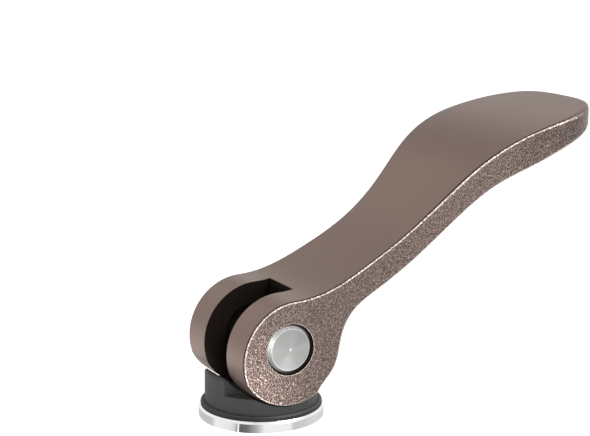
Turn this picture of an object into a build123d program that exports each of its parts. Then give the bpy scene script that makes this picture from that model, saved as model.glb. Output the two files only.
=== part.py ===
from build123d import *
from math import atan2, cos, degrees, hypot, radians, sin, sqrt, tan
import os

# Cam lever: a forked handle whose two ears are cams, turning on a threaded cross
# pin. The ears press a moulded thrust piece and a washer down on the clamped face
# when the handle is swung over. Millimetres. +Z runs up the stud axis and the
# origin is the centre of the washer's underside. The cross pin lies along Y and
# the handle points towards +X.

# ---- driving dimensions -------------------------------------------------------
# washer
washer_diameter = 24.6
washer_thickness = 2.5
washer_edge = 0.4
stud_clearance = 6.6          # hole through the washer and the thrust piece

# thrust piece, heights from its own underside
flange_diameter = 23.8
flange_thickness = 0.9
body_diameter = 22.1
body_edge = 0.3
saddle_floor = 2.4            # lowest line of the saddle
saddle_radius = 12.3
shelf_height = 4.1            # beside the tongues, under the ears
tongue_height = 7.25
tongue_thickness = 1.55
tongue_gap = 0.5              # each side, tongue to ear

# cross pin
pin_diameter = 10.0
pin_running_gap = 0.03
pin_end_recess = 0.05
pin_end_chamfer = 0.95
spot_face_diameter = 8.6
spot_face_depth = 0.9
thread_bore = 5.0
thread_mouth = 6.4

# fork and cam, in the handle's own axes through the pin
fork_width = 24.0
slot_width = 9.5
slot_end = 4.55               # end wall of the slot, from the stud axis
cam_radius = 10.97            # clamping arc
cam_offset = 0.35             # its centre, off the pin axis
cam_offset_angle = -40.0
release_radius = 11.15        # arc that comes round as the lever opens
release_offset = 2.21
release_offset_angle = -56.8
heel_angle = -58.0            # end of the clamping arc
heel_slope = 62.0             # of the back of the ears where they leave the heel
heel_edge = 0.8
kink_blend = 3.0              # between the two arcs
cam_gap = 0.24                # cam to saddle as the lever stands
swing_down = 30.0             # from here to fully clamped
web_clearance = 5.2           # lowest the web comes, below the pin axis

# handle
handle_reach = 72.2           # pin axis to tip, along X
handle_rise = 42.1            # pin axis to the top of the tip, along Z
paddle_half_width = 16.6      # at its widest
blade_thickness = 6.4         # at its thickest
edge_chamfer = 0.35           # round the whole rim

# top line of the handle: shares of the reach and of the rise
top_line = [
    (0.10, 0.240),
    (0.23, 0.331),
    (0.34, 0.435),
    (0.46, 0.595),
    (0.57, 0.765),
    (0.69, 0.878),
    (0.80, 0.931),
    (1.00, 1.000),
]
# thickness under its points from the second on: shares of the blade's
thickness_line = [0.92, 0.865, 0.77, 0.855, 1.0, 0.92, 0.72]
tip_overrun = 3.0             # trimmed by the outline seen from above

# back of the ears, from the heel up to the handle: shares of its radius
ear_back = 10.7
back_line = [
    (0.91, -0.465),
    (1.01, -0.183),
    (1.073, 0.10),
    (1.285, 0.478),
]

# outline from above: shares of the reach, and of the paddle's half width
shoulder_station = 0.10       # end of the straight fork
plan_line = [
    (0.29, 0.684),
    (0.46, 0.744),
    (0.62, 0.942),
    (0.76, 1.000),
    (0.90, 0.902),
    (0.97, 0.663),
]


def polar(center, radius, angle):
    """Point at an angle in degrees on a circle."""
    return (center[0] + radius * cos(radians(angle)), center[1] + radius * sin(radians(angle)))


def circle_crossing(center_a, radius_a, center_b, radius_b):
    """The crossing of two circles that lies furthest to the left."""
    dx = center_b[0] - center_a[0]
    dz = center_b[1] - center_a[1]
    apart = hypot(dx, dz)
    along = (apart**2 + radius_a**2 - radius_b**2) / (2 * apart)
    across = sqrt(radius_a**2 - along**2)
    middle = (center_a[0] + along * dx / apart, center_a[1] + along * dz / apart)
    first = (middle[0] - across * dz / apart, middle[1] + across * dx / apart)
    second = (middle[0] + across * dz / apart, middle[1] - across * dx / apart)
    return min(first, second)


# ---- places worked out from the dimensions ------------------------------------
on_bottom = (Align.CENTER, Align.CENTER, Align.MIN)
cam_center = polar((0, 0), cam_offset, cam_offset_angle)
release_center = polar((0, 0), release_offset, release_offset_angle)
cam_reach_down = sqrt(cam_radius**2 - cam_center[0] ** 2) - cam_center[1]
pin_height = washer_thickness + saddle_floor + cam_gap + cam_reach_down
pin_radius = pin_diameter / 2
bore_radius = pin_radius + pin_running_gap
pin_length = fork_width - 2 * pin_end_recess


def handle_point(station):
    """Top line point, from the pin axis."""
    return (station[0] * handle_reach, station[1] * handle_rise)


def lower_line():
    """Underside of the handle: the top line moved in by the blade's thickness."""
    points = []
    for before, here, after, share in zip(top_line, top_line[1:], top_line[2:], thickness_line):
        start = handle_point(before)
        middle = handle_point(here)
        end = handle_point(after)
        slope = atan2(end[1] - start[1], end[0] - start[0])
        thickness = share * blade_thickness
        points.append((middle[0] + thickness * sin(slope), middle[1] - thickness * cos(slope)))
    return points


def lever_profile():
    """Side outline of the lever, in X and Z from the pin axis."""
    kink = circle_crossing(cam_center, cam_radius, release_center, release_radius)
    kink_angle = degrees(atan2(kink[1] - cam_center[1], kink[0] - cam_center[0]))
    clamp_middle = polar(cam_center, cam_radius, (kink_angle + heel_angle) / 2)
    heel = polar(cam_center, cam_radius, heel_angle)
    release_middle = polar(release_center, release_radius, 160)
    release_top = polar(release_center, release_radius, 90)
    upper = [release_top] + [handle_point(station) for station in top_line]
    tip_x, tip_z = upper[-1]
    tip_slope = atan2(tip_z - upper[-2][1], tip_x - upper[-2][0])
    tip_way = (cos(tip_slope), sin(tip_slope))
    overrun = (tip_x + tip_overrun * tip_way[0], tip_z + tip_overrun * tip_way[1])
    tip_thickness = thickness_line[-1] * blade_thickness
    lower_end = (overrun[0] + tip_thickness * tip_way[1], overrun[1] - tip_thickness * tip_way[0])
    back = [(x * ear_back, z * ear_back) for x, z in back_line]
    lower = [heel] + back + lower_line() + [lower_end]
    heel_way = (cos(radians(heel_slope)), sin(radians(heel_slope)))
    with BuildSketch(Plane.XZ.offset(-2 * paddle_half_width)) as profile:
        with BuildLine():
            ThreePointArc(kink, clamp_middle, heel)
            Spline(*lower, tangents=[heel_way, tip_way], tangent_scalars=(1, 1))
            Line(lower_end, overrun)
            Spline(*upper, overrun, tangents=[(1, 0), tip_way], tangent_scalars=(1, 1))
            ThreePointArc(release_top, release_middle, kink)
        make_face()
        fillet(profile.vertices().sort_by_distance((*heel, 0))[0], heel_edge)
        fillet(profile.vertices().sort_by_distance((*kink, 0))[0], kink_blend)
    return profile.sketch


def lever_plan():
    """Outline of the lever seen from above."""
    half = fork_width / 2
    edge = [(shoulder_station * handle_reach, half)]
    edge += [(station * handle_reach, share * paddle_half_width) for station, share in plan_line]
    other_edge = [(x, -y) for x, y in reversed(edge)]
    front = -2 * cam_radius
    with BuildSketch(Plane.XY.offset(front)) as plan:
        with BuildLine():
            Spline(*edge, (handle_reach, 0), *other_edge, tangents=[(1, 0), (-1, 0)], tangent_scalars=(1, 1))
            Polyline(other_edge[-1], (front, -half), (front, half), edge[0])
        make_face()
    return plan.sketch


def fork_slot():
    """Slot between the ears, in X and Z from the pin axis; its end clears the stud when clamped."""
    swing = radians(swing_down)
    outside = 2 * cam_radius
    bend = (slot_end, slot_end * tan(swing / 2))
    foot = ((slot_end + sin(swing) * web_clearance) / cos(swing), -web_clearance)
    with BuildSketch(Plane.XZ.offset(-slot_width / 2)) as outline:
        with BuildLine():
            Polyline(
                (-outside, outside),
                (slot_end, outside),
                bend,
                foot,
                (outside, -web_clearance),
                (outside, -outside),
                (-outside, -outside),
                close=True,
            )
        make_face()
    return extrude(outline.sketch, amount=slot_width)


def make_lever():
    """Handle, web and the two cam ears, one casting."""
    side = extrude(lever_profile(), amount=4 * paddle_half_width)
    above = extrude(lever_plan(), amount=2 * cam_radius + 2 * handle_rise)
    body = side & above
    rims = [edge for edge in body.edges() if edge.geom_type != GeomType.LINE]
    body = chamfer(rims, edge_chamfer)
    body -= fork_slot()
    body -= Rot(90, 0, 0) * Cylinder(bore_radius, 2 * fork_width)
    return Pos(0, 0, pin_height) * body


def make_cross_pin():
    """Round bar across the fork with the tapped hole for the stud."""
    bar = Rot(90, 0, 0) * Cylinder(pin_radius, pin_length)
    bar = chamfer(bar.edges().filter_by(GeomType.CIRCLE), pin_end_chamfer)
    seat = pin_radius - spot_face_depth
    mouth_depth = (thread_mouth - thread_bore) / 2
    spot_face = Pos(0, 0, seat) * Cylinder(spot_face_diameter / 2, pin_radius, align=on_bottom)
    mouth = Pos(0, 0, seat - mouth_depth) * Cone(thread_bore / 2, thread_mouth / 2, mouth_depth, align=on_bottom)
    entry = spot_face + mouth
    bar -= Cylinder(thread_bore / 2, pin_diameter)
    bar -= entry
    bar -= Rot(180, 0, 0) * entry
    return Pos(0, 0, pin_height) * bar


def make_thrust_piece():
    """Moulded block under the cams: flange, saddle, shelves and two tongues in the slot."""
    body_radius = body_diameter / 2
    tongue_half_width = slot_width / 2 - tongue_gap
    block = Cylinder(body_radius, tongue_height, align=on_bottom)
    saddle = Pos(0, 0, saddle_floor + saddle_radius) * Rot(90, 0, 0) * Cylinder(saddle_radius, body_diameter)
    saddle &= Box(2 * (body_radius - tongue_thickness), body_diameter, 4 * saddle_radius)
    block -= saddle
    over_shelf = Box(body_diameter, body_radius, tongue_height, align=(Align.CENTER, Align.MIN, Align.MIN))
    block -= Pos(0, tongue_half_width, shelf_height) * over_shelf
    block -= Pos(0, -tongue_half_width, shelf_height) * Rot(0, 0, 180) * over_shelf
    tops = block.faces().filter_by(Axis.Z).group_by(Axis.Z)[-1]
    block = chamfer(tops.edges(), body_edge)
    flange = Cylinder(flange_diameter / 2, flange_thickness, align=on_bottom)
    flange = chamfer(flange.edges().group_by(Axis.Z)[-1], body_edge)
    block += flange
    block -= Cylinder(stud_clearance / 2, 2 * tongue_height)
    return Pos(0, 0, washer_thickness) * block


def make_washer():
    """Plain washer with broken rims."""
    ring = Cylinder(washer_diameter / 2, washer_thickness, align=on_bottom)
    ring = chamfer(ring.edges().filter_by(GeomType.CIRCLE), washer_edge)
    return ring - Cylinder(stud_clearance / 2, 4 * washer_thickness)


os.makedirs("parts", exist_ok=True)
export_step(make_lever(), "parts/lever.step")
export_step(make_cross_pin(), "parts/cross_pin.step")
export_step(make_thrust_piece(), "parts/thrust_piece.step")
export_step(make_washer(), "parts/washer.step")
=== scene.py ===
import math
import bmesh
import bpy
from mathutils import Matrix, Vector


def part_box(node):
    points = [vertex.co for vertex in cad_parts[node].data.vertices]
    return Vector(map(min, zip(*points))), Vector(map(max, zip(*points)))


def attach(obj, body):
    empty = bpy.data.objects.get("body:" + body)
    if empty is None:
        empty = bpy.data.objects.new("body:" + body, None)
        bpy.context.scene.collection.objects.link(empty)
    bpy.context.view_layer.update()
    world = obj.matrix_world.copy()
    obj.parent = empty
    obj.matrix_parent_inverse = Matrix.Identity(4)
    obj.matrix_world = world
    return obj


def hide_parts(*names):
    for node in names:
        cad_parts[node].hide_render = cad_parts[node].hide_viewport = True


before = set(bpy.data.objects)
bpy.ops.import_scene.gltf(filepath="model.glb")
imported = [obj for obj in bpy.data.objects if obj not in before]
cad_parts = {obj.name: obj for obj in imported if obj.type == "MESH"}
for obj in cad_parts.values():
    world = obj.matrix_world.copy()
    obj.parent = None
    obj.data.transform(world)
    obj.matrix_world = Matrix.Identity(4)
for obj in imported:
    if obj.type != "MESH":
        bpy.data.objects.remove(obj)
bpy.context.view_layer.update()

MM = 0.001
PIN_LOW, PIN_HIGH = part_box("cross_pin")
PIN_HEIGHT = (PIN_LOW.z + PIN_HIGH.z) / 2
PIN_RADIUS = (PIN_HIGH.x - PIN_LOW.x) / 2

# Clean-up of a mesh before it is worked on.
WELD = 0.003 * MM
SLIVER = 0.001 * MM

# The lever's rims: the solid's bevel, the rounds in its place and how the normals turn there.
EDGE = 0.35 * MM
RIM_ROUND = 0.60 * MM
TIP_ROUND = 0.95 * MM
TIP_ROUND_FROM = 50 * MM
TIP_ROUND_RUN = 16 * MM
BAND = 0.20 * MM
RIM_TURN = math.radians(45)
CORNER_SOFTNESS = 0.4

# A sum of normals shorter than this has cancelled out, and says nothing.
CANCELLED = 0.1

# The lever's skins: where one ends, how narrow a rim strip is, how far the fork's own faces reach.
SKIN_ANGLE = math.radians(25)
STRIP_WIDTH = 0.70 * MM
FORK_REACH = 12 * MM

# The pin's end bevels, and the M6 thread across it, with the flank as a share of the pitch.
BEVEL_WIDTH = 0.95 * MM
BEVEL_DEPTH = 0.55 * MM
BEVEL_SLACK = 0.05 * MM
SHARP_ANGLE = math.radians(20)
THREAD_BORE = 2.5 * MM
THREAD_DEPTH = 0.5 * MM
THREAD_PITCH = 1.0 * MM
THREAD_FLANK = 0.42
THREAD_FADE = 0.3 * MM
THREAD_SIDES = 64
ROWS_PER_PITCH = 12
BORE_FIT = 0.01 * MM

bpy.context.scene.view_settings.view_transform = "Standard"

# ---- camera ---------------------------------------------------------------------
AZIMUTH = math.radians(29.08)
ELEVATION = math.radians(12.60)
DISTANCE = 314.9 * MM
AIM_RIGHT = 6.63 * MM
AIM_UP = 38.49 * MM
LENS = 97.63
SENSOR = 36


def add_camera():
    """A long lens in front of the fork, at its left and a little above it."""
    level = math.cos(ELEVATION)
    back = Vector((-math.sin(AZIMUTH) * level, -math.cos(AZIMUTH) * level, math.sin(ELEVATION)))
    right = Vector((math.cos(AZIMUTH), -math.sin(AZIMUTH), 0))
    up = back.cross(right)
    data = bpy.data.cameras.new("camera")
    data.lens = LENS
    data.sensor_width = SENSOR
    data.clip_start = 0.01
    data.clip_end = 20
    camera = bpy.data.objects.new("camera", data)
    place = AIM_RIGHT * right + AIM_UP * up + DISTANCE * back
    turn = Matrix((right, up, back)).transposed().to_4x4()
    camera.matrix_world = Matrix.Translation(place) @ turn
    bpy.context.scene.collection.objects.link(camera)
    bpy.context.scene.camera = camera


# ---- the cast lever: the solid's skin with soft rims --------------------------------
def skin_regions(bm):
    """Groups the faces into smooth skins.

    Returns the layer with their numbers and the set of narrow strips, which are the bevelled rims.
    """
    layer = bm.faces.layers.int.new("skin")
    bm.faces.ensure_lookup_table()
    for face in bm.faces:
        face[layer] = -1
    strips = set()
    number = 0
    for seed in bm.faces:
        if seed[layer] >= 0:
            continue
        seed[layer] = number
        members = [seed]
        border = 0.0
        for face in members:
            for edge in face.edges:
                others = [f for f in edge.link_faces if f is not face]
                if not others or face.normal.angle(others[0].normal, 0) > SKIN_ANGLE:
                    border += edge.calc_length()
                elif others[0][layer] < 0:
                    others[0][layer] = number
                    members.append(others[0])
        area = sum(face.calc_area() for face in members)
        if border > 0 and 2 * area / border < STRIP_WIDTH:
            strips.add(number)
        number += 1
    return layer, strips


def corner_normals(bm, skin):
    """The smooth normal of each vertex within each skin that it belongs to."""
    corner = {}
    for face in bm.faces:
        for loop in face.loops:
            key = (loop.vert.index, face[skin])
            corner[key] = corner.get(key, Vector()) + face.normal * loop.calc_angle()
    for key in corner:
        corner[key].normalize()
    return corner


def rim_radius(place):
    """The rims are rounder towards the tip of the paddle."""
    part = min(1.0, max(0.0, (place.x - TIP_ROUND_FROM) / TIP_ROUND_RUN))
    return RIM_ROUND + (TIP_ROUND - RIM_ROUND) * part * part * (3 - 2 * part)


def skins_around(vertex, skin):
    return {face[skin] for face in vertex.link_faces}


def fork_skins(bm, skin):
    """The skins that stay near the pin: the slot's walls, its end wall and the pin's bore."""
    reach = {}
    for face in bm.faces:
        for vertex in face.verts:
            off_axis = math.hypot(vertex.co.x, vertex.co.z - PIN_HEIGHT)
            reach[face[skin]] = max(reach.get(face[skin], 0.0), off_axis)
    return {number for number, far in reach.items() if far < FORK_REACH}


def make_lever():
    """Turns the bevels of the solid's skin to soft rounds and marks its rims and its fork."""
    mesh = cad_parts["lever"].data.copy()
    bm = bmesh.new()
    bm.from_mesh(mesh)
    bmesh.ops.remove_doubles(bm, verts=bm.verts, dist=WELD)
    bmesh.ops.dissolve_degenerate(bm, edges=bm.edges, dist=SLIVER)
    bmesh.ops.triangulate(bm, faces=bm.faces)
    bm.normal_update()
    skin, strips = skin_regions(bm)
    tag = bm.verts.layers.int.new("tag")
    band = bm.faces.layers.int.new("band")
    bm.verts.index_update()
    start, rims_at, sides_at = {}, {}, {}
    for vertex in bm.verts:
        vertex[tag] = vertex.index
        start[vertex.index] = vertex.co.copy()
        found = skins_around(vertex, skin)
        rims_at[vertex.index] = sorted(found & strips)
        sides_at[vertex.index] = sorted(found - strips)
    corner = corner_normals(bm, skin)

    # A narrow band is cut along each side that meets a rim.
    soft = {number for key, rims in rims_at.items() if rims for number in sides_at[key]}
    for number in sorted(soft):
        faces = [face for face in bm.faces if face[skin] == number]
        made = bmesh.ops.inset_region(bm, faces=faces, thickness=BAND,
                                      use_even_offset=True, use_boundary=True)
        for face in made["faces"]:
            face[skin] = number
            face[band] = 1

    # The rim's own vertices sink on to the round, and the band ends where the round does.
    for vertex in bm.verts:
        key = vertex[tag]
        if not rims_at[key] or len(sides_at[key]) != 1:
            continue
        radius = rim_radius(vertex.co)
        if skins_around(vertex, skin) & strips:
            drop = radius - math.sqrt(radius ** 2 - (radius - EDGE) ** 2)
            vertex.co -= corner[(key, sides_at[key][0])] * drop
        else:
            vertex.co = start[key] + (vertex.co - start[key]) * ((radius - EDGE) / BAND)

    # The normals turn evenly over the round. A plain corner is softened a little.
    normals = []
    for face in bm.faces:
        number = face[skin]
        for loop in face.loops:
            key = loop.vert[tag]
            rims, sides = rims_at[key], sides_at[key]
            here = skins_around(loop.vert, skin)
            normal = corner.get((key, number), face.normal)
            if here & strips and rims and len(sides) == 1:
                radius = rim_radius(start[key])
                turn = math.asin((radius - EDGE) / radius) / RIM_TURN
                normal = corner[(key, sides[0])].slerp(corner[(key, rims[0])], turn)
            elif number in soft and len(here) > 1 and not rims:
                others = sum((corner[(key, other)] for other in sides if other != number), Vector())
                if others.length > CANCELLED:
                    normal = normal.slerp(others.normalized(), CORNER_SOFTNESS)
            normals.append(normal.normalized())
    inner = fork_skins(bm, skin) - strips
    marks = {"rim": [1.0 if face[skin] in strips or face[band] else 0.0 for face in bm.faces],
             "fork": [1.0 if face[skin] in inner else 0.0 for face in bm.faces]}
    bm.to_mesh(mesh)
    bm.free()
    mesh.shade_smooth()
    mesh.normals_split_custom_set(normals)
    for name, values in marks.items():
        mesh.attributes.new(name, "FLOAT", "FACE").data.foreach_set("value", values)
    lever = bpy.data.objects.new("lever_cast", mesh)
    bpy.context.scene.collection.objects.link(lever)
    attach(lever, "handle")
    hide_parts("lever")
    return lever


# ---- the cross pin: shallow end bevels and a cut thread in its cross hole -----------
def cut_thread(bm, bottom, top):
    """Adds the wall of the tapped hole: a helical groove that fades out at both ends."""
    levels = int((top - bottom) / (THREAD_PITCH / ROWS_PER_PITCH))
    rows = []
    for level in range(levels + 1):
        height = bottom + (top - bottom) * level / levels
        fade = min(1.0, (height - bottom) / THREAD_FADE, (top - height) / THREAD_FADE)
        row = []
        for step in range(THREAD_SIDES):
            turn = 2 * math.pi * step / THREAD_SIDES
            phase = (height / THREAD_PITCH - step / THREAD_SIDES) % 1.0
            groove = max(0.0, 1 - abs(phase - 0.5) / THREAD_FLANK)
            reach = THREAD_BORE + THREAD_DEPTH * fade * groove
            row.append(bm.verts.new((reach * math.cos(turn), reach * math.sin(turn), height)))
        rows.append(row)
    for below, above in zip(rows, rows[1:]):
        for step in range(THREAD_SIDES):
            other = (step + 1) % THREAD_SIDES
            face = bm.faces.new((below[other], below[step], above[step], above[other]))
            face.smooth = True


def on_bore(vertex):
    return abs(math.hypot(vertex.co.x, vertex.co.y) - THREAD_BORE) < BORE_FIT


def make_pin():
    """Gives the solid's pin shallow end bevels, sharp edges that stay sharp and a real thread."""
    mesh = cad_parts["cross_pin"].data.copy()
    bm = bmesh.new()
    bm.from_mesh(mesh)
    bmesh.ops.remove_doubles(bm, verts=bm.verts, dist=WELD)
    face_radius = PIN_RADIUS - BEVEL_WIDTH
    for vertex in bm.verts:
        across = math.hypot(vertex.co.x, vertex.co.z - PIN_HEIGHT)
        from_end = PIN_HIGH.y - abs(vertex.co.y)
        if across > face_radius and from_end < BEVEL_WIDTH + BEVEL_SLACK:
            depth = BEVEL_DEPTH * (across - face_radius) / BEVEL_WIDTH
            vertex.co.y = math.copysign(PIN_HIGH.y - depth, vertex.co.y)
    wall = [face for face in bm.faces if all(on_bore(vertex) for vertex in face.verts)]
    heights = [vertex.co.z for face in wall for vertex in face.verts]
    bmesh.ops.delete(bm, geom=wall, context="FACES_ONLY")
    bm.normal_update()
    for edge in bm.edges:
        faces = edge.link_faces
        flat = len(faces) == 2 and faces[0].normal.angle(faces[1].normal, 0) < SHARP_ANGLE
        edge.smooth = flat
    for face in bm.faces:
        face.smooth = True
    cut_thread(bm, min(heights), max(heights))
    bm.to_mesh(mesh)
    bm.free()
    if "custom_normal" in mesh.attributes:
        mesh.attributes.remove(mesh.attributes["custom_normal"])
    pin = bpy.data.objects.new("cross_pin_turned", mesh)
    bpy.context.scene.collection.objects.link(pin)
    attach(pin, "pin")
    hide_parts("cross_pin")
    return pin


# ---- node helpers ---------------------------------------------------------------
def new_material(name):
    material = bpy.data.materials.new(name)
    material.use_nodes = True
    material.node_tree.nodes.clear()
    return material, material.node_tree


def link(tree, source, target):
    tree.links.new(source, target)


def object_place(tree):
    return tree.nodes.new("ShaderNodeTexCoord").outputs["Object"]


def axes(tree, vector):
    """The x, y and z of a vector."""
    split = tree.nodes.new("ShaderNodeSeparateXYZ")
    link(tree, vector, split.inputs[0])
    return split.outputs


def math_node(tree, operation, *values):
    made = tree.nodes.new("ShaderNodeMath")
    made.operation = operation
    for slot, value in enumerate(values):
        if isinstance(value, (int, float)):
            made.inputs[slot].default_value = value
        else:
            link(tree, value, made.inputs[slot])
    return made.outputs[0]


def noise_node(tree, place, scale, detail=2.0, roughness=0.5):
    """Noise with about so many lumps to the metre."""
    made = tree.nodes.new("ShaderNodeTexNoise")
    made.inputs["Scale"].default_value = scale
    made.inputs["Detail"].default_value = detail
    made.inputs["Roughness"].default_value = roughness
    link(tree, place, made.inputs["Vector"])
    return made


def noise(tree, place, scale, detail=2.0, roughness=0.5):
    return noise_node(tree, place, scale, detail, roughness).outputs["Fac"]


def attribute(tree, name):
    made = tree.nodes.new("ShaderNodeAttribute")
    made.attribute_name = name
    return made


def step_up(tree, value, low, high):
    """0 below low, 1 above high."""
    made = tree.nodes.new("ShaderNodeMapRange")
    made.interpolation_type = "SMOOTHSTEP"
    made.inputs["From Min"].default_value = low
    made.inputs["From Max"].default_value = high
    link(tree, value, made.inputs["Value"])
    return made.outputs["Result"]


def step_down(tree, value, low, high):
    """1 below low, 0 above high."""
    return step_up(tree, math_node(tree, "MULTIPLY", value, -1.0), -high, -low)


def between(tree, factor, first, second):
    """The first number where the factor is 0, the second where it is 1."""
    return math_node(tree, "MULTIPLY_ADD", factor, second - first, first)


def mix_color(tree, factor, first, second):
    made = tree.nodes.new("ShaderNodeMix")
    made.data_type = "RGBA"
    link(tree, factor, made.inputs[0])
    for slot, value in ((6, first), (7, second)):
        if isinstance(value, tuple):
            made.inputs[slot].default_value = (*value, 1)
        else:
            link(tree, value, made.inputs[slot])
    return made.outputs[2]


def bump(tree, height, strength, distance, before=None):
    made = tree.nodes.new("ShaderNodeBump")
    made.inputs["Strength"].default_value = strength
    made.inputs["Distance"].default_value = distance
    link(tree, height, made.inputs["Height"])
    if before is not None:
        link(tree, before, made.inputs["Normal"])
    return made.outputs["Normal"]


def finish_surface(tree, shader, kind="ShaderNodeOutputMaterial"):
    link(tree, shader.outputs[0], tree.nodes.new(kind).inputs["Surface"])


def principled(tree, **constants):
    shader = tree.nodes.new("ShaderNodeBsdfPrincipled")
    for name, value in constants.items():
        shader.inputs[name].default_value = value
    finish_surface(tree, shader)
    return shader


def emission(tree, shade=1.0, strength=1.0):
    glow = tree.nodes.new("ShaderNodeEmission")
    glow.inputs["Color"].default_value = (shade, shade, shade, 1)
    glow.inputs["Strength"].default_value = strength
    return glow


# ---- materials ------------------------------------------------------------------
# Colours: a pair is the dark and the light end of what varies.
SATIN = (0.214, 0.142, 0.113), (0.240, 0.163, 0.132)
GRAINED = (0.124, 0.086, 0.074), (0.300, 0.228, 0.204)
# The rims' painted highlight (its dark and light end) and their painted shade line.
RIM_PAINTED_HIGHLIGHT = (0.26, 0.195, 0.172), (0.80, 0.66, 0.61)
RIM_PAINTED_SHADE = (0.050, 0.033, 0.027)
# Painted shade for the lever's faces inside the fork.
FORK_PAINTED_SHADE = (0.034, 0.024, 0.019)
PIN_RINGS = (0.38, 0.38, 0.375), (0.57, 0.57, 0.56)
PIN_BEVEL = (0.30, 0.30, 0.295)
# A painted highlight on the crest of the pin's end face and at its center.
PIN_PAINTED_HIGHLIGHT = (0.86, 0.86, 0.85)
# Painted shade on the pin's middle, where it lies inside the fork.
PIN_MIDDLE_PAINTED_SHADE = (0.035, 0.032, 0.030)
WASHER_LINES = (0.80, 0.80, 0.80), (0.90, 0.90, 0.90)
PLASTIC = (0.044, 0.048, 0.046), (0.068, 0.073, 0.069)
# Painted shade on the edge of the plastic flange.
FLANGE_PAINTED_SHADE = (0.010, 0.011, 0.010)

# Where one look gives way to the next: from the first measure to the second.
# The rims' painted shade line and painted highlight fade out towards the tip over this span.
RIM_PAINT_ENDS = 58 * MM, 68 * MM
CENTER_ENDS = 0.22 * MM, 0.34 * MM
CREST_STARTS = 3.92 * MM, 3.99 * MM
BEVEL_STARTS = 4.02 * MM, 4.10 * MM
PIN_END_STARTS = 4.8 * MM, 5.2 * MM
FLANGE_ENDS = 3.0 * MM, 3.38 * MM

# The same for how far a face of the lever is turned sideways: 0 on top, 1 on the side.
SIDE_STARTS = 0.35, 0.8
# The next three place the rims' painted shade line and painted highlight by how far the face is
# turned.
RIM_STARTS = 0.22, 0.36
RIM_SHADE_TO_HIGHLIGHT = 0.62, 0.76
RIM_ENDS = 0.92, 0.96

# How much of a noise shows: from its value at the first number to its value at the second.
PEBBLE_TONE = 0.35, 0.95
# The next breaks up the rims' painted highlight with fine noise.
RIM_HIGHLIGHT_BREAKUP = 0.34, 0.56

# Sizes of grain, in lumps to the metre.
PEBBLES = 2800
PEBBLE_WARP = 1400
COARSE_GRAIN = 1150
FINE_GRAIN = 3000
COATING_PATCHES = 60
TURNED_RINGS = 12000
WASHER_GRAIN = (60, 60, 9000)
PLASTIC_GRAIN = 2500
PLASTIC_CLOUDS = 150

# Roughness: from top to side on the lever, from low to high grain on the washer and the plastic.
LEVER_ROUGHNESS = 0.36, 0.30
WASHER_ROUGHNESS = 0.12, 0.20
PLASTIC_ROUGHNESS = 0.55, 0.70
PIN_ROUGHNESS = 0.32

# How far the pebbles are bent, the coarse grain's share beside them, and heights of the relief.
WARP_REACH = 0.5 * MM
COARSE_SHARE = 0.9
PEBBLE_HEIGHT = 0.19 * MM
COATING_HEIGHT = 0.04 * MM
STEEL_HEIGHT = 0.02 * MM
PLASTIC_HEIGHT = 0.03 * MM


def lever_pebbles(tree, place):
    """The cast grain of the lever's sides: small uneven domes."""
    warp = noise_node(tree, place, PEBBLE_WARP)
    bent = tree.nodes.new("ShaderNodeVectorMath")
    bent.operation = "MULTIPLY_ADD"
    bent.inputs[1].default_value = (WARP_REACH, WARP_REACH, WARP_REACH)
    link(tree, warp.outputs["Color"], bent.inputs[0])
    link(tree, place, bent.inputs[2])
    pebble = tree.nodes.new("ShaderNodeTexVoronoi")
    pebble.feature = "SMOOTH_F1"
    pebble.inputs["Scale"].default_value = PEBBLES
    pebble.inputs["Smoothness"].default_value = 0.45
    link(tree, bent.outputs[0], pebble.inputs["Vector"])
    return math_node(tree, "SUBTRACT", 1.0, pebble.outputs["Distance"])


def painted_rim_shade_and_highlight(tree, place, sideways, fine):
    """Where the rims show, and their colour: a painted shade line beside a painted highlight, which
    fine noise breaks up.
    """
    weight = math_node(tree, "MULTIPLY", attribute(tree, "rim").outputs["Fac"],
                       step_down(tree, axes(tree, place)[0], *RIM_PAINT_ENDS))
    weight = math_node(tree, "MULTIPLY", weight, step_up(tree, sideways, *RIM_STARTS))
    weight = math_node(tree, "MULTIPLY", weight, step_down(tree, sideways, *RIM_ENDS))
    rim_highlight = mix_color(tree, step_up(tree, fine, *RIM_HIGHLIGHT_BREAKUP), *RIM_PAINTED_HIGHLIGHT)
    return weight, mix_color(tree, step_up(tree, sideways, *RIM_SHADE_TO_HIGHLIGHT), RIM_PAINTED_SHADE, rim_highlight)


def lever_material():
    """Bronze metallic coating: satin on top, grained on the sides, painted shade inside the fork,
    and a painted shade line and painted highlight on the rims.
    """
    material, tree = new_material("lever_coating")
    place = object_place(tree)
    facing = axes(tree, tree.nodes.new("ShaderNodeTexCoord").outputs["Normal"])
    sideways = math_node(tree, "ABSOLUTE", facing[1])
    side = step_up(tree, sideways, *SIDE_STARTS)
    outside = math_node(tree, "SUBTRACT", 1.0, attribute(tree, "fork").outputs["Fac"])
    dome = lever_pebbles(tree, place)
    coarse = noise(tree, place, COARSE_GRAIN)
    fine = noise(tree, place, FINE_GRAIN, roughness=0.6)
    patches = noise(tree, place, COATING_PATCHES)

    satin = mix_color(tree, patches, *SATIN)
    grained = mix_color(tree, step_up(tree, dome, *PEBBLE_TONE), *GRAINED)
    color = mix_color(tree, side, satin, grained)
    # The rims get a painted shade line and a painted highlight.
    rim, rim_color = painted_rim_shade_and_highlight(tree, place, sideways, fine)
    color = mix_color(tree, rim, color, rim_color)
    # Painted shade inside the fork.
    color = mix_color(tree, outside, FORK_PAINTED_SHADE, color)

    relief = math_node(tree, "ADD", dome, math_node(tree, "MULTIPLY", coarse, COARSE_SHARE))
    relief = math_node(tree, "MULTIPLY", relief, math_node(tree, "MULTIPLY", side, outside))
    grain = bump(tree, relief, 1.0, PEBBLE_HEIGHT)

    shader = principled(tree, Metallic=0.60)
    link(tree, color, shader.inputs["Base Color"])
    link(tree, between(tree, side, *LEVER_ROUGHNESS), shader.inputs["Roughness"])
    link(tree, bump(tree, fine, 0.08, COATING_HEIGHT, grain), shader.inputs["Normal"])
    return material


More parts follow.
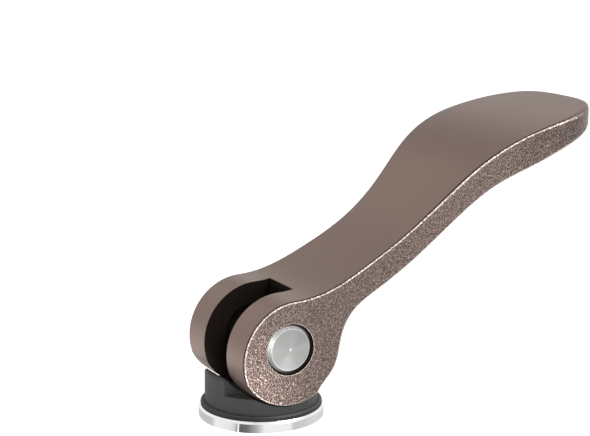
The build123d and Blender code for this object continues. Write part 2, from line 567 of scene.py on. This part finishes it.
def pin_material():
    """Turned steel: fine rings on the ends, a painted highlight on the crest and center, painted
    shade inside the fork.
    """
    material, tree = new_material("pin_steel")
    x, y, z = axes(tree, object_place(tree))
    height = math_node(tree, "SUBTRACT", z, PIN_HEIGHT)
    squares = math_node(tree, "MULTIPLY_ADD", height, height, math_node(tree, "MULTIPLY", x, x))
    radius = math_node(tree, "SQRT", squares)
    line = tree.nodes.new("ShaderNodeCombineXYZ")
    link(tree, radius, line.inputs[0])
    rings = noise(tree, line.outputs[0], TURNED_RINGS, roughness=0.6)

    color = mix_color(tree, rings, *PIN_RINGS)
    bevel = step_up(tree, radius, *BEVEL_STARTS)
    color = mix_color(tree, bevel, color, PIN_BEVEL)
    # A painted highlight on the crest of the end face and at its center.
    crest = math_node(tree, "SUBTRACT", step_up(tree, radius, *CREST_STARTS), bevel)
    center = step_down(tree, radius, *CENTER_ENDS)
    bright = math_node(tree, "MAXIMUM", crest, center)
    color = mix_color(tree, bright, color, PIN_PAINTED_HIGHLIGHT)
    # Painted shade on the pin's middle, inside the fork.
    ends = step_up(tree, math_node(tree, "ABSOLUTE", y), *PIN_END_STARTS)
    color = mix_color(tree, ends, PIN_MIDDLE_PAINTED_SHADE, color)

    tangent = tree.nodes.new("ShaderNodeTangent")
    tangent.direction_type = "RADIAL"
    tangent.axis = "Y"
    shader = principled(tree, Metallic=1.0, Roughness=PIN_ROUGHNESS, Anisotropic=0.75)
    link(tree, color, shader.inputs["Base Color"])
    link(tree, tangent.outputs[0], shader.inputs["Tangent"])
    link(tree, bump(tree, rings, 0.25, STEEL_HEIGHT), shader.inputs["Normal"])
    return material


def washer_material():
    """Bright steel with fine lines round the edge."""
    material, tree = new_material("washer_steel")
    stretch = tree.nodes.new("ShaderNodeMapping")
    stretch.inputs["Scale"].default_value = WASHER_GRAIN
    link(tree, object_place(tree), stretch.inputs["Vector"])
    lines = noise(tree, stretch.outputs[0], 1.0, roughness=0.6)
    color = mix_color(tree, lines, *WASHER_LINES)
    shader = principled(tree, Metallic=1.0)
    link(tree, color, shader.inputs["Base Color"])
    link(tree, between(tree, lines, *WASHER_ROUGHNESS), shader.inputs["Roughness"])
    link(tree, bump(tree, lines, 0.06, STEEL_HEIGHT), shader.inputs["Normal"])
    return material


def plastic_material():
    """Black moulded plastic, with painted shade on the edge of the flange."""
    material, tree = new_material("thrust_plastic")
    place = object_place(tree)
    grain = noise(tree, place, PLASTIC_GRAIN, detail=3.0, roughness=0.6)
    cloud = noise(tree, place, PLASTIC_CLOUDS)
    body = step_up(tree, axes(tree, place)[2], *FLANGE_ENDS)
    color = mix_color(tree, cloud, *PLASTIC)
    # Painted shade on the flange's edge, below the body.
    color = mix_color(tree, body, FLANGE_PAINTED_SHADE, color)
    shader = principled(tree)
    link(tree, color, shader.inputs["Base Color"])
    link(tree, between(tree, grain, *PLASTIC_ROUGHNESS), shader.inputs["Roughness"])
    link(tree, bump(tree, grain, 0.3, PLASTIC_HEIGHT), shader.inputs["Normal"])
    return material


def dress(piece, material):
    piece.data.materials.clear()
    piece.data.materials.append(material)


# ---- floor and surroundings -----------------------------------------------------
FLOOR_SIZE = 6.0
FLOOR_DROP = 0.02 * MM
FLOOR_SHADE = 0.85
FLOOR_GLOW = 0.75
WORLD_WHITE = 1.0
WORLD_LIGHT = 0.45


def rectangle(name, width, height):
    half, tall = width / 2, height / 2
    mesh = bpy.data.meshes.new(name)
    corners = [(-half, -tall, 0), (half, -tall, 0), (half, tall, 0), (-half, tall, 0)]
    mesh.from_pydata(corners, [], [(0, 1, 2, 3)])
    return mesh


def seen_directly(tree):
    """1 for the rays that look at the white surroundings, 0 for those that carry light."""
    rays = tree.nodes.new("ShaderNodeLightPath").outputs
    seen = math_node(tree, "MAXIMUM", rays["Is Camera Ray"], rays["Is Glossy Ray"])
    return math_node(tree, "MAXIMUM", seen, rays["Is Transmission Ray"])


def add_floor():
    """Pale floor just under the washer: white to look at, and it keeps the shadow."""
    floor = bpy.data.objects.new("floor", rectangle("floor", FLOOR_SIZE, FLOOR_SIZE))
    floor.location.z = -FLOOR_DROP
    bpy.context.scene.collection.objects.link(floor)
    material, tree = new_material("floor")
    diffuse = tree.nodes.new("ShaderNodeBsdfDiffuse")
    diffuse.inputs["Color"].default_value = (FLOOR_SHADE, FLOOR_SHADE, FLOOR_SHADE, 1)
    lit = tree.nodes.new("ShaderNodeMixShader")
    link(tree, seen_directly(tree), lit.inputs[0])
    link(tree, emission(tree, strength=0.0).outputs[0], lit.inputs[1])
    link(tree, emission(tree, strength=FLOOR_GLOW).outputs[0], lit.inputs[2])
    both = tree.nodes.new("ShaderNodeAddShader")
    link(tree, diffuse.outputs[0], both.inputs[0])
    link(tree, lit.outputs[0], both.inputs[1])
    finish_surface(tree, both)
    floor.data.materials.append(material)


def set_world():
    """White to look at, soft grey as a light."""
    world = bpy.data.worlds.new("studio")
    bpy.context.scene.world = world
    world.use_nodes = True
    tree = world.node_tree
    tree.nodes.clear()
    both = tree.nodes.new("ShaderNodeMixShader")
    link(tree, seen_directly(tree), both.inputs[0])
    for slot, strength in ((1, WORLD_LIGHT), (2, WORLD_WHITE)):
        sky = tree.nodes.new("ShaderNodeBackground")
        sky.inputs["Color"].default_value = (1, 1, 1, 1)
        sky.inputs["Strength"].default_value = strength
        link(tree, sky.outputs[0], both.inputs[slot])
    finish_surface(tree, both, "ShaderNodeOutputWorld")


# ---- lamps and cards ------------------------------------------------------------
CARD_LIFT = 0.3 * MM

# The fan of paper in front of the washer: an angle from the camera's side, in degrees, and a shade.
FAN_STOPS = [(-90, 0.62), (-50, 0.62), (-45, 1.0), (-30, 0.95), (-23, 0.75), (-21.6, 0.2),
             (-21, 0.2), (-20.6, 1.4), (-19.6, 1.4), (-19.2, 0.12), (-12, 0.18), (-3, 0.5),
             (4, 1.0), (28, 1.0), (31, 0.66), (60, 0.8), (90, 0.65)]
FAN_STEP = 3
FAN_LIFT = 0.2 * MM
FAN_REACH = 0.1 * MM, 24 * MM


def turn_towards(thing, place, aim):
    thing.location = place
    thing.rotation_euler = (aim - place).to_track_quat("-Z", "Y").to_euler()


def add_light(name, place, aim, size, power, only=(), spread=180):
    """A square soft lamp. It lights everything, or only the pieces that are named."""
    data = bpy.data.lights.new(name, "AREA")
    data.size = size
    data.spread = math.radians(spread)
    data.energy = power
    lamp = bpy.data.objects.new(name, data)
    turn_towards(lamp, place, aim)
    lamp.visible_camera = False
    bpy.context.scene.collection.objects.link(lamp)
    if only:
        lit = bpy.data.collections.new(name + "_lights")
        for piece in only:
            lit.objects.link(piece)
        lamp.light_linking.receiver_collection = lit


def new_card(name, mesh, material):
    """An object that shows in reflections alone."""
    card = bpy.data.objects.new(name, mesh)
    card.visible_camera = False
    card.visible_diffuse = False
    card.visible_shadow = False
    card.visible_transmission = False
    bpy.context.scene.collection.objects.link(card)
    mesh.materials.append(material)
    return card


def add_card(name, place, aim, width, height, shade):
    """A flat grey or bright card: it gives metal something to mirror."""
    material, tree = new_material(name)
    finish_surface(tree, emission(tree, shade))
    card = new_card(name, rectangle(name, width, height), material)
    turn_towards(card, place, aim)


def add_floor_card(name, x, y, width, height, shade):
    """A card that lies just over the floor."""
    place = Vector((x, y, CARD_LIFT))
    add_card(name, place, place + Vector((0, 0, 1)), width, height, shade)


def shade_between(stops, turn):
    """The shade at an angle, on straight lines between the stops."""
    for (before, dark), (after, light) in zip(stops, stops[1:]):
        if turn <= after:
            return dark + (light - dark) * (turn - before) / (after - before)


def add_foot_card():
    """Paper in a fan in front of the washer, so that its polished edge shows bands."""
    low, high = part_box("washer")
    rim = (high.x - low.x) / 2
    front = math.atan2(-math.cos(AZIMUTH), -math.sin(AZIMUTH))
    turns = sorted({turn for turn, shade in FAN_STOPS} | set(range(-90, 90, FAN_STEP)))
    points, shades = [], []
    for turn in turns:
        shade = shade_between(FAN_STOPS, turn)
        at = front + math.radians(turn)
        out = front + math.radians(2 * turn)
        for reach in FAN_REACH:
            points.append((rim * math.cos(at) + reach * math.cos(out),
                           rim * math.sin(at) + reach * math.sin(out), FAN_LIFT))
            shades.extend((shade, shade, shade, 1.0))
    faces = [(2 * k, 2 * k + 1, 2 * k + 3, 2 * k + 2) for k in range(len(turns) - 1)]
    mesh = bpy.data.meshes.new("foot_card")
    mesh.from_pydata(points, [], faces)
    mesh.color_attributes.new("shade", "FLOAT_COLOR", "POINT").data.foreach_set("color", shades)
    material, tree = new_material("foot_card")
    glow = emission(tree)
    link(tree, attribute(tree, "shade").outputs["Color"], glow.inputs["Color"])
    finish_surface(tree, glow)
    new_card("foot_card", mesh, material)


# ---- the scene ------------------------------------------------------------------
add_camera()
LEVER = make_lever()
dress(LEVER, lever_material())
dress(make_pin(), pin_material())
dress(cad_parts["thrust_piece"], plastic_material())
dress(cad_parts["washer"], washer_material())
add_floor()
set_world()

# Places and sizes are in metres, powers in watts, spreads in degrees.
MIDDLE = Vector((0.03, 0.0, 0.03))
add_light("key", MIDDLE + Vector((0.16, -0.24, 0.36)), MIDDLE, size=0.16, power=1.1)
add_light("low_left", Vector((-0.060, -0.14, 0.030)), Vector((0.0, -0.012, 0.012)),
          size=0.04, power=0.04)
add_card("flag_front", Vector((0.205, -0.075, 0.08)), Vector((0.1275, 0.065, 0.08)),
         width=0.30, height=0.16, shade=0.62)
add_card("flag_back", Vector((0.235, 0.33, 0.34)), MIDDLE, width=0.50, height=0.20, shade=0.50)
add_floor_card("flag_floor", 0.165, -0.165, width=0.28, height=0.26, shade=0.35)
add_floor_card("flag_tip", 0.195, 0.045, width=0.16, height=0.15, shade=0.45)
add_light("front_low", Vector((-0.006, -0.030, 0.002)), Vector((-0.008, -0.012, 0.008)),
          size=0.008, power=0.0020, only=[LEVER], spread=96)
add_light("blade_low", Vector((0.052, -0.066, 0.028)), Vector((0.045, -0.012, 0.042)),
          size=0.02, power=0.0095, only=[LEVER])
add_card("shine_top", MIDDLE + 0.42 * Vector((0.46, -0.48, 0.75)), MIDDLE,
         width=0.14, height=0.50, shade=4.5)
add_foot_card()
